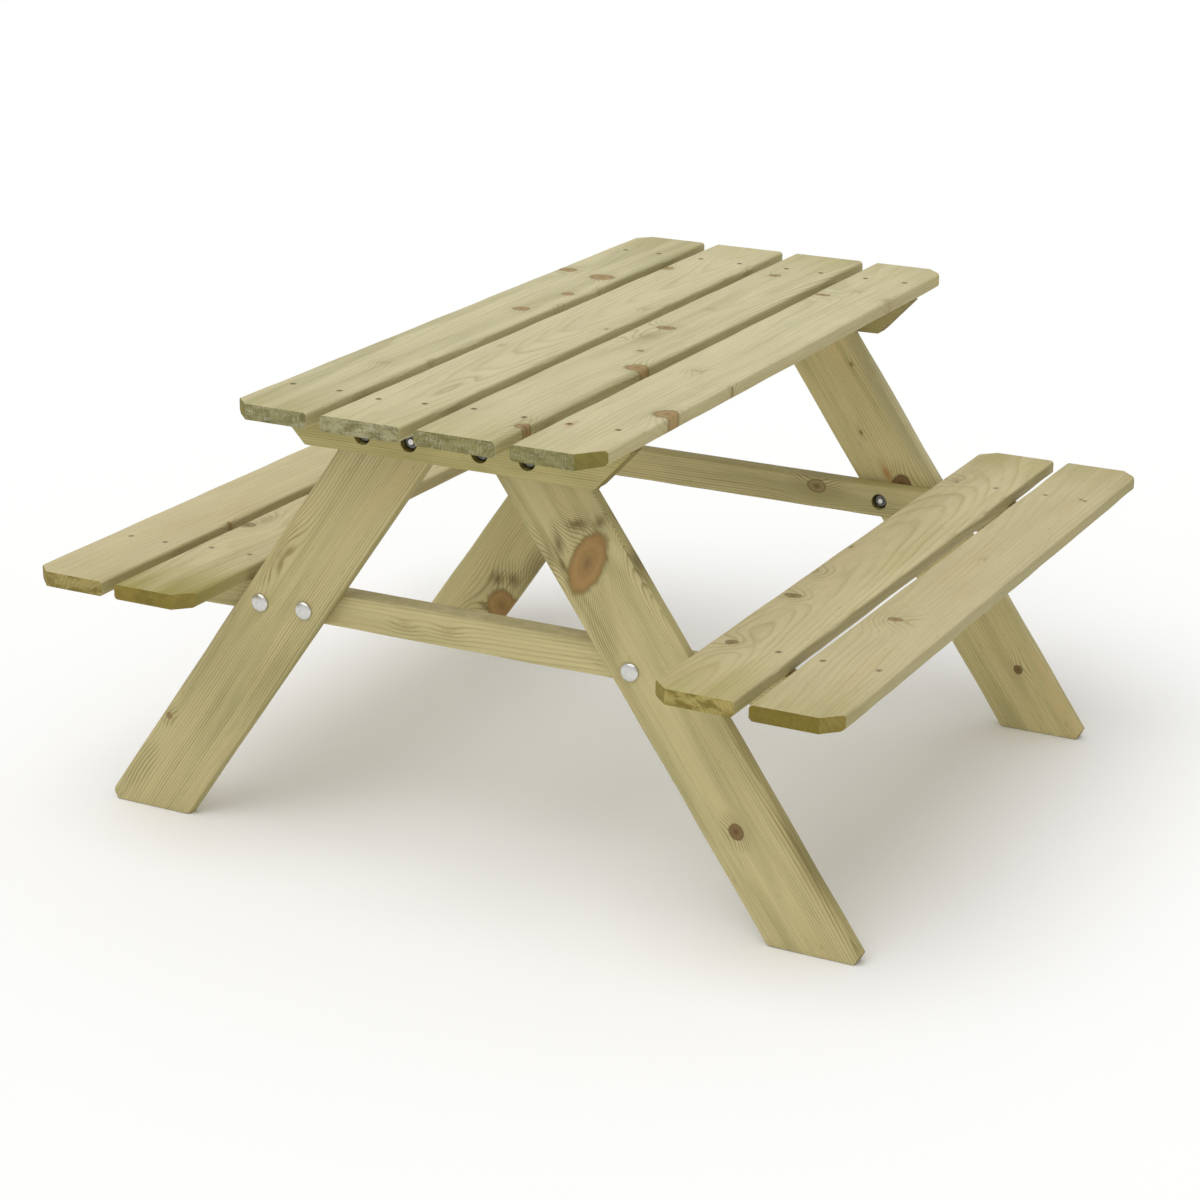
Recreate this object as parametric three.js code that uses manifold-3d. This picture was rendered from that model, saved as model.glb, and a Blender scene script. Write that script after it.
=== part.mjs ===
// Child-size A-frame picnic table in softwood, held by coach bolts.
// Millimetres, +Z up, +X along the boards, origin on the floor under the middle of the table.
// End 1 is the -X end frame and end 2 the +X one; side a is +Y and side b is -Y.
import * as THREE from "three";
import { mergeVertices } from "three/addons/utils/BufferGeometryUtils.js";
import Module from "manifold-3d";

const wasm = await Module();
wasm.setup();

// ---- Driving dimensions ----
const boardThickness = 16.5;
const boardArris = 3.5; // rounding of the long edges of every board
const cornerClip = { along: 19, across: 19 }; // cut on the outward board corners
const wideClip = { along: 29, across: 21.5 }; // the -X -Y corner of the top is cut back further
const fitGap = 0.3; // daylight between pieces that touch

const top = { height: 513.5, length: 916, boardWidth: 90, gap: 15.8, boards: 4 };
const seat = { height: 298.2, length: 919, boardWidth: 90.4, gap: 15.4, innerEdge: 262.6 };
const leg = { width: 89.5, splayDeg: 34.8, footCentre: 401.1, outerFace: 350.6 };
const toe = { cut: 14, leanDeg: 60 }; // outer corner of each foot, cut back and leaning outward
const cleat = { thickness: 27, height: 43.3, bottomHalfLength: 164.6, shiftY: 2.4 };
cleat.endBevel = { run: 38.6, rise: 41.3 };
const rail = { thickness: 27, height: 36.5, bottomHalfLength: 415, shiftY: 0 };
rail.endBevel = { run: 30, rise: 30 };
const battenArris = 2; // rounding of the long edges of cleats and rails

// Places of the bolts across the table: inner and outer bolt of each leg
const cleatBoltY = { a: [44.8, 99.2], b: [-35.6, -89] };
const railBoltY = { a: [191, 245.1], b: [-191, -245.1] };
const cleatBoltDrop = 2.5; // the cleat bolts sit this far below the cleat's middle height

// M8 coach bolt, 40 mm long, and its nut
const bolt = { diameter: 7.8, length: 40, tipChamfer: 0.8 };
const boltHead = { diameter: 20, height: 4.6, neckSquare: 8, neckDepth: 4.2 };
const nut = { acrossFlats: 13, thickness: 6.5, bore: 8.4, chamfer: 0.8 };
const washerThickness = 1.6;
const hole = { diameter: 8.6, neckSquare: 8.6, neckDepth: 5 };
const recess = { diameter: 19, depth: 14 };

const arcSteps = 4; // flats per rounded board edge
const roundSteps = 20; // flats round a bolt, hole or recess
const domeSteps = 5; // rings of the domed bolt head
const cutSpare = 2; // how far every cutting shape stands clear of what it cuts

// ---- Derived levels ----
const topUnderside = top.height - boardThickness;
const seatUnderside = seat.height - boardThickness;
const splay = THREE.MathUtils.degToRad(leg.splayDeg);
const cleatMidHeight = topUnderside - fitGap - cleat.height / 2;
const cleatBoltHeight = cleatMidHeight - cleatBoltDrop;
const railMidHeight = seatUnderside - fitGap - rail.height / 2;
const seatOuterEdge = seat.innerEdge + 2 * seat.boardWidth + seat.gap;

// ---- Materials: colour, roughness and metalness of each kind of piece ----
const material = (name, color, roughness, metalness) =>
  new THREE.MeshStandardMaterial({ name, color, roughness, metalness });
const topWood = material("top_wood", 0xc5bb92, 0.72, 0);
const seatWood = material("seat_wood", 0xbfb485, 0.74, 0);
const frameWood = material("frame_wood", 0xaea372, 0.76, 0);
const zincSteel = material("zinc_steel", 0xb9bbb8, 0.38, 1);

// ---- Solids ----
function solidFrom(geometry) {
  const plain = geometry.clone();
  plain.deleteAttribute("normal");
  plain.deleteAttribute("uv");
  const merged = mergeVertices(plain, 1e-4);
  const vertProperties = new Float32Array(merged.attributes.position.array);
  const triVerts = new Uint32Array(merged.index.array);
  return new wasm.Manifold(new wasm.Mesh({ numProp: 3, vertProperties, triVerts }));
}

function pieceFrom(name, solid, surface) {
  const mesh = solid.getMesh();
  const geometry = new THREE.BufferGeometry();
  geometry.setAttribute("position", new THREE.BufferAttribute(mesh.vertProperties, 3));
  geometry.setIndex(new THREE.BufferAttribute(mesh.triVerts, 1));
  geometry.computeVertexNormals();
  const piece = new THREE.Mesh(geometry, surface);
  piece.name = name;
  return piece;
}

// A bar whose section lies along two directions and whose length runs along their cross product.
function bar(length, width, thickness, arris, centre, widthAxis, thicknessAxis) {
  const [w, t, r] = [width / 2, thickness / 2, arris];
  const section = new THREE.Shape();
  section.moveTo(-w + r, -t);
  section.lineTo(w - r, -t);
  section.absarc(w - r, -t + r, r, -Math.PI / 2, 0, false);
  section.absarc(w - r, t - r, r, 0, Math.PI / 2, false);
  section.absarc(-w + r, t - r, r, Math.PI / 2, Math.PI, false);
  section.absarc(-w + r, -t + r, r, Math.PI, Math.PI * 1.5, false);
  const shape = new THREE.ExtrudeGeometry(section, {
    depth: length,
    bevelEnabled: false,
    curveSegments: arcSteps,
  });
  shape.translate(0, 0, -length / 2);
  const lengthAxis = new THREE.Vector3().crossVectors(widthAxis, thicknessAxis);
  const turn = new THREE.Matrix4().makeBasis(widthAxis, thicknessAxis, lengthAxis);
  shape.applyMatrix4(turn.setPosition(centre));
  return solidFrom(shape);
}

// A prism with corners (u, v), extruded between two stations on the axis its plane faces.
function prism(corners, from, to, uAxis, vAxis) {
  const outline = new THREE.Shape(corners.map(([u, v]) => new THREE.Vector2(u, v)));
  const shape = new THREE.ExtrudeGeometry(outline, { depth: to - from, bevelEnabled: false });
  shape.translate(0, 0, from);
  const along = new THREE.Vector3().crossVectors(uAxis, vAxis);
  shape.applyMatrix4(new THREE.Matrix4().makeBasis(uAxis, vAxis, along));
  return solidFrom(shape);
}

function box(size, centre) {
  return solidFrom(new THREE.BoxGeometry(...size).translate(...centre));
}

// A cylinder along X between two stations.
function drill(diameter, fromX, toX, y, z) {
  const length = Math.abs(toX - fromX);
  const shape = new THREE.CylinderGeometry(diameter / 2, diameter / 2, length, roundSteps);
  shape.rotateZ(Math.PI / 2).translate((fromX + toX) / 2, y, z);
  return solidFrom(shape);
}

const axisX = new THREE.Vector3(1, 0, 0);
const axisY = new THREE.Vector3(0, 1, 0);
const axisZ = new THREE.Vector3(0, 0, 1);

// ---- Top and seat boards ----
// clipSide is +1 or -1 for a board whose +Y or -Y corners are cut off, 0 for none;
// firstClip is the size of the cut at its -X end.
function flatBoard(length, width, y, topLevel, clipSide, firstClip = cornerClip) {
  const centre = new THREE.Vector3(0, y, topLevel - boardThickness / 2);
  let board = bar(length, width, boardThickness, boardArris, centre, axisY, axisZ);
  if (clipSide === 0) return board;
  const edge = y + (clipSide * width) / 2;
  for (const end of [-1, 1]) {
    const tip = (end * length) / 2;
    const { along, across } = end < 0 ? firstClip : cornerClip;
    const pastAlong = along + (cutSpare * along) / across;
    const pastAcross = across + (cutSpare * across) / along;
    const corners = [
      [tip - end * pastAlong, edge + clipSide * cutSpare],
      [tip + end * cutSpare, edge + clipSide * cutSpare],
      [tip + end * cutSpare, edge - clipSide * pastAcross],
    ];
    if (end * clipSide > 0) corners.reverse();
    const below = topLevel - boardThickness - cutSpare;
    board = board.subtract(prism(corners, below, topLevel + cutSpare, axisX, axisY));
  }
  return board;
}

function topBoards() {
  const pitch = top.boardWidth + top.gap;
  const pieces = [];
  for (let i = 0; i < top.boards; i += 1) {
    const y = ((top.boards - 1) / 2 - i) * pitch;
    const last = i === top.boards - 1;
    const clipSide = i === 0 ? 1 : last ? -1 : 0;
    const firstClip = last ? wideClip : cornerClip;
    const board = flatBoard(top.length, top.boardWidth, y, top.height, clipSide, firstClip);
    pieces.push(pieceFrom(`top_board_${i + 1}`, board, topWood));
  }
  return pieces;
}

function seatBoards() {
  const pieces = [];
  for (const [side, sign] of [["a", 1], ["b", -1]]) {
    const innerY = sign * (seat.innerEdge + seat.boardWidth / 2);
    const outerY = sign * (seatOuterEdge - seat.boardWidth / 2);
    const inner = flatBoard(seat.length, seat.boardWidth, innerY, seat.height, -sign);
    const outer = flatBoard(seat.length, seat.boardWidth, outerY, seat.height, sign);
    pieces.push(pieceFrom(`seat_board_${side}_inner`, inner, seatWood));
    pieces.push(pieceFrom(`seat_board_${side}_outer`, outer, seatWood));
  }
  return pieces;
}

// ---- End frames ----
// The wedge that cuts the outer corner off a foot, through the whole leg thickness.
function toeCutter(side, midX) {
  const footOuter = leg.footCentre + leg.width / 2 / Math.cos(splay);
  const reach = 3 * toe.cut;
  const lean = reach / Math.tan(THREE.MathUtils.degToRad(toe.leanDeg));
  const start = footOuter - toe.cut;
  const corners = [
    [side * (start - lean), -reach],
    [side * (footOuter + reach), -reach],
    [side * (footOuter + reach), reach],
    [side * (start + lean), reach],
  ];
  if (side < 0) corners.reverse();
  return prism(corners, midX - boardThickness, midX + boardThickness, axisY, axisZ);
}

// end is -1 or +1 (which end of the table), letter is a for the +Y leg or b for the -Y one.
function legSolid(end, letter) {
  const side = letter === "a" ? 1 : -1;
  const topZ = topUnderside - fitGap;
  const midZ = topZ / 2;
  const midY = leg.footCentre - midZ * Math.tan(splay);
  const midX = end * (leg.outerFace - boardThickness / 2);
  const widthAxis = new THREE.Vector3(0, side * Math.cos(splay), Math.sin(splay));
  const centre = new THREE.Vector3(midX, side * midY, midZ);
  const fullLength = topZ / Math.cos(splay);
  const roughLength = fullLength + 2 * leg.width; // then cut level at the floor and the top
  let solid = bar(roughLength, leg.width, boardThickness, boardArris, centre, widthAxis, axisX);
  const level = box([2 * boardThickness, 2 * fullLength, topZ], [midX, side * midY, midZ]);
  solid = solid.intersect(level).subtract(toeCutter(side, midX));

  const inside = end * (leg.outerFace - boardThickness);
  const outside = end * leg.outerFace;
  for (const y of cleatBoltY[letter]) {
    solid = boredForBolt(solid, inside, end, y, cleatBoltHeight);
  }
  for (const y of railBoltY[letter]) {
    solid = boredForBolt(solid, outside, -end, y, railMidHeight);
  }
  return solid;
}

// Clearance hole with the square pocket a coach bolt's neck pulls into; the bolt enters at headX.
function boredForBolt(solid, headX, direction, y, z) {
  const entry = headX - direction * cutSpare;
  const exit = headX + direction * (boardThickness + cutSpare);
  const pocketX = headX + (direction * (hole.neckDepth - cutSpare)) / 2;
  const pocketSize = [hole.neckDepth + cutSpare, hole.neckSquare, hole.neckSquare];
  const bore = drill(hole.diameter, entry, exit, y, z).add(box(pocketSize, [pocketX, y, z]));
  return solid.subtract(bore);
}

// A cleat or seat rail: nearX is the face on the leg, direction points from there to the open face.
function battenSolid(batten, nearX, direction, midZ, boltY, boltZ) {
  const { run, rise } = batten.endBevel;
  const halfTop = batten.bottomHalfLength + run;
  const bottomZ = midZ - batten.height / 2;
  const midX = nearX + (direction * batten.thickness) / 2;
  const centre = new THREE.Vector3(midX, batten.shiftY, midZ);
  let solid = bar(2 * halfTop, batten.height, batten.thickness, battenArris, centre, axisZ, axisX);
  const openX = nearX + direction * batten.thickness;
  const fromX = Math.min(nearX, openX) - cutSpare;
  const toX = Math.max(nearX, openX) + cutSpare;
  for (const side of [-1, 1]) {
    const cornerY = batten.shiftY + side * (batten.bottomHalfLength - run / 10);
    const tipY = batten.shiftY + side * (halfTop + run / 10);
    const corners = [
      [cornerY, bottomZ - rise / 10],
      [tipY, bottomZ - rise / 10],
      [tipY, bottomZ + (rise * 11) / 10],
    ];
    if (side < 0) corners.reverse();
    solid = solid.subtract(prism(corners, fromX, toX, axisY, axisZ));
  }
  for (const y of [...boltY.a, ...boltY.b]) {
    solid = solid.subtract(drill(hole.diameter, fromX, toX, y, boltZ));
    const floorX = openX - direction * recess.depth;
    const mouthX = openX + direction * cutSpare;
    solid = solid.subtract(drill(recess.diameter, floorX, mouthX, y, boltZ));
  }
  return solid;
}

// ---- Fasteners ----
// Coach bolt with its head's flat face at the origin and its shank along +X.
function boltSolid() {
  const headRadius = boltHead.diameter / 2;
  const shankRadius = bolt.diameter / 2;
  const profile = [];
  for (let i = 0; i <= domeSteps; i += 1) {
    const angle = (i / domeSteps) * (Math.PI / 2);
    const radius = i === 0 ? 0 : headRadius * Math.sin(angle);
    profile.push(new THREE.Vector2(radius, -boltHead.height * Math.cos(angle)));
  }
  profile[domeSteps].y = 0;
  profile.push(new THREE.Vector2(shankRadius, 0));
  profile.push(new THREE.Vector2(shankRadius, bolt.length - bolt.tipChamfer));
  profile.push(new THREE.Vector2(shankRadius - bolt.tipChamfer, bolt.length));
  profile.push(new THREE.Vector2(0, bolt.length));
  const turned = new THREE.LatheGeometry(profile, roundSteps);
  turned.rotateZ(-Math.PI / 2);
  const { neckDepth, neckSquare } = boltHead;
  const neck = box([neckDepth, neckSquare, neckSquare], [neckDepth / 2, 0, 0]);
  return solidFrom(turned).add(neck);
}

// Hex nut with its bearing face at the origin and its thickness along +X.
function nutSolid() {
  const cornerRadius = nut.acrossFlats / 2 / Math.cos(Math.PI / 6);
  const hexagon = new THREE.CylinderGeometry(cornerRadius, cornerRadius, nut.thickness, 6);
  hexagon.rotateZ(Math.PI / 2).translate(nut.thickness / 2, 0, 0);
  const rim = nut.acrossFlats / 2;
  const barrel = [
    new THREE.Vector2(0, 0),
    new THREE.Vector2(rim, 0),
    new THREE.Vector2(cornerRadius, nut.chamfer),
    new THREE.Vector2(cornerRadius, nut.thickness - nut.chamfer),
    new THREE.Vector2(rim, nut.thickness),
    new THREE.Vector2(0, nut.thickness),
  ];
  const turned = new THREE.LatheGeometry(barrel, roundSteps).rotateZ(-Math.PI / 2);
  const blank = solidFrom(hexagon).intersect(solidFrom(turned));
  return blank.subtract(drill(nut.bore, -cutSpare, nut.thickness + cutSpare, 0, 0));
}

const boltShape = boltSolid();
const nutShape = nutSolid();

// Stands a fastener shape on a face at x, with its +X turned to point along direction.
function placed(shape, direction, x, y, z) {
  const turned = direction > 0 ? shape : shape.rotate([0, 0, 180]);
  return turned.translate([x, y, z]);
}

// The bolt and nut of one joint; headX is the leg face under the head.
function joint(label, headX, direction, openX, y, z) {
  const nutX = openX - direction * (recess.depth - washerThickness - fitGap);
  const boltX = headX - direction * fitGap;
  return [
    pieceFrom(`bolt_${label}`, placed(boltShape, direction, boltX, y, z), zincSteel),
    pieceFrom(`nut_${label}`, placed(nutShape, direction, nutX, y, z), zincSteel),
  ];
}

function endFrame(number, end) {
  const pieces = [];
  const outside = end * leg.outerFace;
  const inside = end * (leg.outerFace - boardThickness);
  const cleatNear = outside + end * fitGap;
  const railNear = inside - end * fitGap;
  const cleatOpen = cleatNear + end * cleat.thickness;
  const railOpen = railNear - end * rail.thickness;

  const cleatBolts = [cleatBoltY, cleatBoltHeight];
  const railBolts = [railBoltY, railMidHeight];
  const cleatShape = battenSolid(cleat, cleatNear, end, cleatMidHeight, ...cleatBolts);
  const railShape = battenSolid(rail, railNear, -end, railMidHeight, ...railBolts);
  pieces.push(pieceFrom(`cleat_${number}`, cleatShape, frameWood));
  pieces.push(pieceFrom(`seat_rail_${number}`, railShape, frameWood));

  for (const letter of ["a", "b"]) {
    pieces.push(pieceFrom(`leg_${number}${letter}`, legSolid(end, letter), frameWood));
    for (const [place, index] of [["inner", 0], ["outer", 1]]) {
      const label = `${number}${letter}_${place}`;
      const cleatY = cleatBoltY[letter][index];
      const railY = railBoltY[letter][index];
      pieces.push(...joint(`cleat_${label}`, inside, end, cleatOpen, cleatY, cleatBoltHeight));
      pieces.push(...joint(`rail_${label}`, outside, -end, railOpen, railY, railMidHeight));
    }
  }
  return pieces;
}

// ---- Whole table ----
const table = new THREE.Group();
table.name = "picnic_table";
table.add(...topBoards(), ...seatBoards(), ...endFrame(1, -1), ...endFrame(2, 1));
export default table;
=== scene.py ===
import math

import bmesh
import bpy
from mathutils import Matrix, Vector, noise

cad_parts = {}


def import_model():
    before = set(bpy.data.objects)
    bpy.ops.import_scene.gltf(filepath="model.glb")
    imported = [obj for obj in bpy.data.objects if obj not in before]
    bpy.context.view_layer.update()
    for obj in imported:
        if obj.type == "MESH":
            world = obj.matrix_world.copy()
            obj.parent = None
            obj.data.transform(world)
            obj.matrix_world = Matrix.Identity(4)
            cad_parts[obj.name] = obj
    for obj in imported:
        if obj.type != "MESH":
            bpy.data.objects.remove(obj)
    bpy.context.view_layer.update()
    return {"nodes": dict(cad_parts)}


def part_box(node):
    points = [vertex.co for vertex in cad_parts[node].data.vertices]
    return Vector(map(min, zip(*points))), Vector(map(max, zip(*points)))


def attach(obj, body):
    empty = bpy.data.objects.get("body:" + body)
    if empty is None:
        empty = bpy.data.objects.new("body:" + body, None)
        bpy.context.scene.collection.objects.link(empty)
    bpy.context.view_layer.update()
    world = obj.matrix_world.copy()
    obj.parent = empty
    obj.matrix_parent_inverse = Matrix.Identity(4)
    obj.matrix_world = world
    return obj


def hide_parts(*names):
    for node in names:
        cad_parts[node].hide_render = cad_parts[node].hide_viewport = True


# Child-size picnic table in green-tinted pressure-treated pine, held by zinc coach bolts.
# Lengths are written in millimetres and turned into metres where geometry is made.
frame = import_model()

MM = 0.001
X_AXIS, Z_AXIS = Vector((1, 0, 0)), Vector((0, 0, 1))

# ---- Camera: the photograph's viewing angle ----
CAMERA_AZIMUTH, CAMERA_ELEVATION, CAMERA_ROLL = -63.086, 18.978, 0.674
CAMERA_DISTANCE = 3.27872
CAMERA_TARGET = Vector((-0.02175, 0.01009, 0.20617))
SENSOR_WIDTH, LENS = 36.0, 87.666

# ---- Timber ----
ARRIS = 3.5  # rounding of the long edges of boards and legs
BATTEN_ARRIS = 2.0
SAWN_EDGE = 0.7  # softened rim round every sawn end
CORNER_CLIP = (19.0, 19.0)  # along the board, across it
WIDE_CLIP = (29.0, 21.5)  # the -X -Y corner of the top
STATION_STEP, STATION_MARGIN = 20.0, 3.0  # between cross-sections, and from the last to the end
SPARE_LENGTH = 40.0  # extra length of a rough bar, sawn off again
WIDE_PIECE = 60.0  # a piece wider than this has more faces across its flats
EDGE_WANDER = 0.9  # the most that a long edge is worn back
LEG_WIDTH, LEG_SPLAY, LEG_FOOT_CENTRE = 89.5, math.radians(34.8), 401.1
TOE_CUT, TOE_LEAN = 14.0, math.radians(60)
BATTEN_END_BEVEL = {"cleat": (38.6, 41.3), "seat_rail": (30.0, 30.0)}  # run, rise

# ---- Fasteners ----
BOLT_DIAMETER, BOLT_LENGTH, THREAD_LENGTH, THREAD_PITCH = 7.8, 40.0, 20.0, 1.25
HEAD_RADIUS, HEAD_HEIGHT, HEAD_RIM = 10.0, 4.6, 0.7
NECK_SQUARE, NECK_DEPTH = 8.0, 4.2
BORE, NECK_POCKET, POCKET_DEPTH = 8.6, 8.6, 5.0
RECESS_DIAMETER, RECESS_DEPTH = 19.0, 14.0
WASHER_OUTER, WASHER_INNER, WASHER_THICKNESS, WASHER_GAP = 16.0, 8.6, 1.4, 0.05
SCREW_HEAD, SCREW_SHANK, SCREW_LENGTH = 6.6, 3.6, 32.0
SCREW_BORE, SCREW_CONE, SCREW_PLAY = 4.0, 2.4, 0.3
TOP_SINK, SEAT_SINK = 0.6, 0.1  # how far the screw heads lie below the faces of the boards
TOP_SCREW_X, SEAT_SCREW_X = 369.0, 318.0
SCREW_ACROSS = 25.0  # nominal distance of each screw from the middle of its board
BORE_PAST, POCKET_PAST, RECESS_PAST = 8.0, 2.0, 3.0  # length of the cutters outside the wood
SCREW_PAST = 2.6  # length of the cutter above a screw's head

# ---- Names and sides ----
ENDS = (("1", -1), ("2", 1))  # end frames, with the sign of their X
BOLT_PLACES = ("a_inner", "a_outer", "b_inner", "b_outer")

# ---- Studio ----
FLOOR_RADIUS, FLOOR_GAP = 60.0, 0.0005  # metres; out to the horizon, and just below the feet


def srgb(red, green, blue):
    """Linear colour of an 8-bit display colour."""
    return tuple(
        c / 12.92 if c <= 0.04045 else ((c + 0.055) / 1.055) ** 2.4
        for c in (red / 255, green / 255, blue / 255)
    ) + (1.0,)


# ---- Shader graphs ----
class Graph:
    """Small helper that adds nodes to a tree; inputs are sockets or plain values."""

    def __init__(self, tree):
        self.tree = tree

    def node(self, kind, inputs=None, **settings):
        made = self.tree.nodes.new(kind)
        for key, value in settings.items():
            setattr(made, key, value)
        for key, value in (inputs or {}).items():
            self.feed(made.inputs[key], value)
        return made

    def feed(self, socket, value):
        if isinstance(value, bpy.types.NodeSocket):
            self.tree.links.new(value, socket)
        else:
            socket.default_value = value

    def math(self, operation, a, b=0.0, c=0.0, clamp=False):
        made = self.node("ShaderNodeMath", {0: a, 1: b, 2: c}, operation=operation, use_clamp=clamp)
        return made.outputs[0]

    def add(self, a, b):
        return self.math("ADD", a, b)

    def times(self, a, b):
        return self.math("MULTIPLY", a, b)

    def vector(self, operation, a, b):
        return self.node("ShaderNodeVectorMath", {0: a, 1: b}, operation=operation).outputs[0]

    def placed(self, vector, location, rotation, scale):
        """The coordinates as seen from a frame of their own."""
        made = self.node(
            "ShaderNodeMapping",
            {"Vector": vector, "Location": location, "Rotation": rotation, "Scale": scale},
            vector_type="TEXTURE",
        )
        return made.outputs[0]

    def stretch(self, vector, x, y, z):
        """Divides the coordinates, so that a pattern is about x, y and z millimetres in size."""
        return self.vector("MULTIPLY", vector, (1 / x, 1 / y, 1 / z))

    def noise(self, vector, detail=2.0, roughness=0.5, distortion=0.0):
        made = self.node(
            "ShaderNodeTexNoise",
            {"Vector": vector, "Scale": 1.0, "Detail": detail, "Roughness": roughness,
             "Distortion": distortion},
        )
        return made.outputs["Fac"]

    def span(self, value, low, high, to_low=0.0, to_high=1.0, smooth=True):
        made = self.node(
            "ShaderNodeMapRange",
            {"Value": value, "From Min": low, "From Max": high, "To Min": to_low,
             "To Max": to_high},
            interpolation_type="SMOOTHSTEP" if smooth else "LINEAR",
        )
        return made.outputs["Result"]

    def linear(self, value, low, high, to_low, to_high):
        return self.span(value, low, high, to_low, to_high, smooth=False)

    def ramp(self, value, stops):
        made = self.node("ShaderNodeValToRGB", {"Fac": value})
        elements = made.color_ramp.elements
        while len(elements) < len(stops):
            elements.new(0.5)
        for element, (position, colour) in zip(elements, stops):
            element.position = position
            element.color = colour
        return made

    def mix(self, factor, a, b, blend="MIX"):
        made = self.node("ShaderNodeMix", data_type="RGBA", blend_type=blend)
        made.clamp_factor = True
        self.feed(made.inputs[0], factor)
        self.feed(made.inputs[6], a)
        self.feed(made.inputs[7], b)
        return made.outputs[2]

    def surface(self, colour, rough, bump, specular=0.5, metallic=0.0):
        """Ends the graph in one shader."""
        shader = self.node(
            "ShaderNodeBsdfPrincipled",
            {"Base Color": colour, "Roughness": rough, "Normal": bump.outputs[0],
             "Specular IOR Level": specular, "Metallic": metallic},
        )
        self.node("ShaderNodeOutputMaterial", {"Surface": shader.outputs[0]})


def empty_material(name):
    material = bpy.data.materials.new(name)
    material.use_nodes = True
    material.node_tree.nodes.clear()
    return material, material.node_tree


def knot_group():
    """Node group: how one knot bends the growth rings, and how far a point is from its rim."""
    tree = bpy.data.node_groups.new("knot", "ShaderNodeTree")
    for name, kind in (
        ("Point", "NodeSocketVector"), ("Wobble", "NodeSocketFloat"), ("Centre", "NodeSocketVector"),
        ("Turn", "NodeSocketVector"), ("Size", "NodeSocketVector"), ("Reach", "NodeSocketVector"),
    ):
        tree.interface.new_socket(name, in_out="INPUT", socket_type=kind)
    for name in ("Bend", "Distance"):
        tree.interface.new_socket(name, in_out="OUTPUT", socket_type="NodeSocketFloat")
    g = Graph(tree)
    source = g.node("NodeGroupInput").outputs
    lengths = []
    for scale in ("Size", "Reach"):
        place = g.placed(source["Point"], source["Centre"], source["Turn"], source[scale])
        measured = g.node("ShaderNodeVectorMath", {0: place}, operation="LENGTH")
        lengths.append(measured.outputs["Value"])
    bend = g.math("EXPONENT", g.times(g.times(lengths[1], lengths[1]), -1.0))
    distance = g.times(lengths[0], source["Wobble"])
    target = g.node("NodeGroupOutput")
    tree.links.new(bend, target.inputs["Bend"])
    tree.links.new(distance, target.inputs["Distance"])
    return tree


KNOT = knot_group()
FLAT = 1000.0  # a size this large leaves that direction out of a knot's shape
BEND_STRETCH, BEND_MARGINS = 1.3, (5.0, 2.0)  # how far beyond a knot the rings bend
KNOT_RINGS = 24.0  # angle of the ring pattern between a knot's centre and its rim

def shades(side, weather=0.0, **colours):
    """Palette of one kind of timber: how much painted shade darkens its narrow edges, how weathered
    its ends, its colours.
    """
    named = {name: srgb(*colour) for name, colour in colours.items()}
    return {"side": side, "weather": weather} | named


# In each palette, side is the factor of painted shade on the narrow edges of the pieces
TOP_PALETTE = shades(
    early=(203, 194, 155), late=(156, 144, 92), grey=(180, 173, 132),
    warm=(206, 190, 147), end=(140, 134, 92), end_dark=(102, 96, 50),
    end_pale=(180, 176, 150), clip=(128, 118, 56), green=(164, 152, 88),
    side=0.92, weather=0.75,
)
SEAT_PALETTE = shades(
    early=(196, 184, 143), late=(152, 137, 82), grey=(176, 166, 120),
    warm=(196, 178, 132), end=(145, 130, 68), end_dark=(108, 95, 32),
    end_pale=(162, 149, 92), clip=(140, 125, 62), green=(148, 138, 70),
    side=0.9, weather=0.25,
)
FRAME_PALETTE = shades(
    early=(193, 181, 132), late=(126, 112, 58), grey=(162, 154, 106),
    warm=(196, 174, 124), end=(138, 126, 68), end_dark=(104, 94, 44),
    end_pale=(156, 146, 94), clip=(138, 126, 70), green=(150, 141, 80),
    side=0.98,
)
# The cleats' colours are darker and less blue than the frame's: painted shade for their place under
# the top
CLEAT_PALETTE = FRAME_PALETTE | shades(
    early=(182, 171, 116), late=(124, 112, 56), grey=(158, 149, 94), side=0.98,
)
# (place from centre to rim, red, green, blue)
KNOT_COLOURS = {
    "red": [(0.0, 112, 84, 46), (0.15, 136, 106, 60), (0.4, 148, 116, 66),
            (0.72, 160, 124, 72), (0.9, 136, 104, 56), (1.0, 116, 98, 50)],
    "amber": [(0.0, 120, 92, 54), (0.2, 144, 116, 72), (0.55, 163, 136, 88),
              (0.8, 146, 118, 72), (1.0, 114, 96, 54)],
    "brown": [(0.0, 72, 50, 30), (0.3, 108, 80, 46), (0.7, 122, 94, 56),
              (0.9, 98, 76, 42), (1.0, 112, 94, 56)],
    "tan": [(0.0, 96, 74, 46), (0.3, 138, 110, 70), (0.65, 158, 132, 88),
            (0.9, 118, 98, 58), (1.0, 120, 104, 62)],
    "dark": [(0.0, 92, 76, 48), (0.35, 128, 110, 70), (0.75, 146, 130, 86),
             (0.92, 104, 90, 54), (1.0, 116, 104, 62)],
    "faint": [(0.0, 150, 130, 88), (0.5, 176, 158, 114), (1.0, 166, 152, 106)],
    "pale": [(0.0, 200, 188, 140), (1.0, 192, 180, 132)],
    "glow": [(0.0, 176, 124, 70), (1.0, 192, 158, 104)],
    "haze": [(0.0, 142, 133, 92), (1.0, 158, 148, 104)],
    "mould": [(0.0, 168, 162, 126), (1.0, 176, 168, 128)],
    # a pale strip of painted light, laid over faces that sit in shade
    "painted_light": [(0.0, 226, 216, 176), (1.0, 220, 210, 170)],
    "blot": [(0.0, 86, 74, 36), (1.0, 116, 102, 56)],
    "smear": [(0.0, 104, 92, 50), (1.0, 124, 112, 62)],
}
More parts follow.
